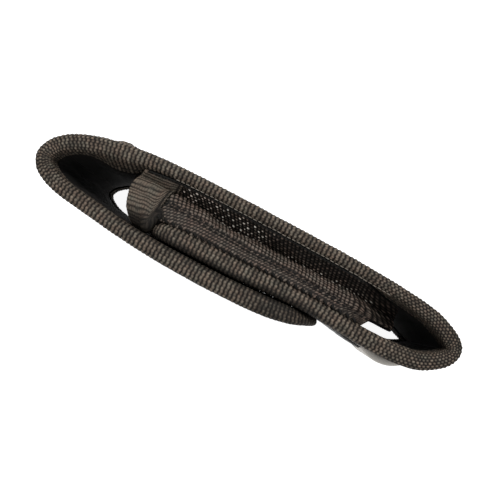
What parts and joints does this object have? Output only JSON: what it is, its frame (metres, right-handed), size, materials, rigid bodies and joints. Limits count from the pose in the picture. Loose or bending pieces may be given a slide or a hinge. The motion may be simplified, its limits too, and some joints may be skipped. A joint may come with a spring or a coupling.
{
  "type": "belt sheath",
  "caption": "Padded belt sheath lying on its side edge: a bound foam band folded into a pouch with side gussets, a belt loop and a wrap-over hook-and-loop flap.",
  "frame": {"origin": "middle of the footprint, on the surface that the sheath's left side edge lies on", "axes": "+X towards the closed bottom, +Y towards the belt side (back), +Z across the width, from the left side edge up to the right one"},
  "size_m": [0.1344, 0.0311, 0.056],
  "materials": {
    "outer_cloth": "coarse ballistic weave, dark brown-black",
    "foam": "closed-cell padding, hidden",
    "lining": "smooth dark lining",
    "edge_tape": "ribbed binding tape",
    "webbing": "plain woven webbing",
    "hook_and_loop": "hook and loop pile",
    "label": "matte blank tab",
    "thread": "dense bar tack"
  },
  "bodies": {
    "pouch": {"pouch_shell": "outer_cloth", "pouch_foam": "foam", "pouch_lining": "lining", "pouch_binding_left": "edge_tape", "pouch_binding_right": "edge_tape", "mouth_binding": "edge_tape", "gusset_left": "outer_cloth", "gusset_right": "outer_cloth", "gusset_tape_left": "edge_tape", "gusset_tape_right": "edge_tape", "belt_loop": "webbing", "belt_loop_folded_end": "webbing", "belt_loop_tack_top": "thread", "belt_loop_tack_bottom": "thread", "loop_patch": "hook_and_loop", "blank_label": "label"},
    "crown_back": {"crown_back_shell": "outer_cloth", "crown_back_foam": "foam", "crown_back_lining": "lining", "crown_back_binding_left": "edge_tape", "crown_back_binding_right": "edge_tape"},
    "crown_front": {"crown_front_shell": "outer_cloth", "crown_front_foam": "foam", "crown_front_lining": "lining", "crown_front_binding_left": "edge_tape", "crown_front_binding_right": "edge_tape"},
    "flap": {"flap_shell": "outer_cloth", "flap_foam": "foam", "flap_lining": "lining", "flap_binding_left": "edge_tape", "flap_binding_right": "edge_tape", "flap_tip_binding": "edge_tape", "hook_patch": "hook_and_loop"}
  },
  "joints": [
    {"name": "flap_fold_back", "type": "hinge", "parent": "pouch", "child": "crown_back", "pos_m": [-0.05722, 0.00996, 0.028], "axis": [0, 0, -1], "range_deg": [0, 60]},
    {"name": "flap_fold_top", "type": "hinge", "parent": "crown_back", "child": "crown_front", "pos_m": [-0.06702, -0.00178, 0.028], "axis": [0, 0, -1], "range_deg": [0, 60]},
    {"name": "flap_fold_front", "type": "hinge", "parent": "crown_front", "child": "flap", "pos_m": [-0.05872, -0.00848, 0.028], "axis": [0, 0, -1], "range_deg": [0, 60]}
  ],
  "couplings": [
    {"joint": "flap_fold_top", "follows": "flap_fold_back", "ratio": 1},
    {"joint": "flap_fold_front", "follows": "flap_fold_back", "ratio": 1}
  ]
}
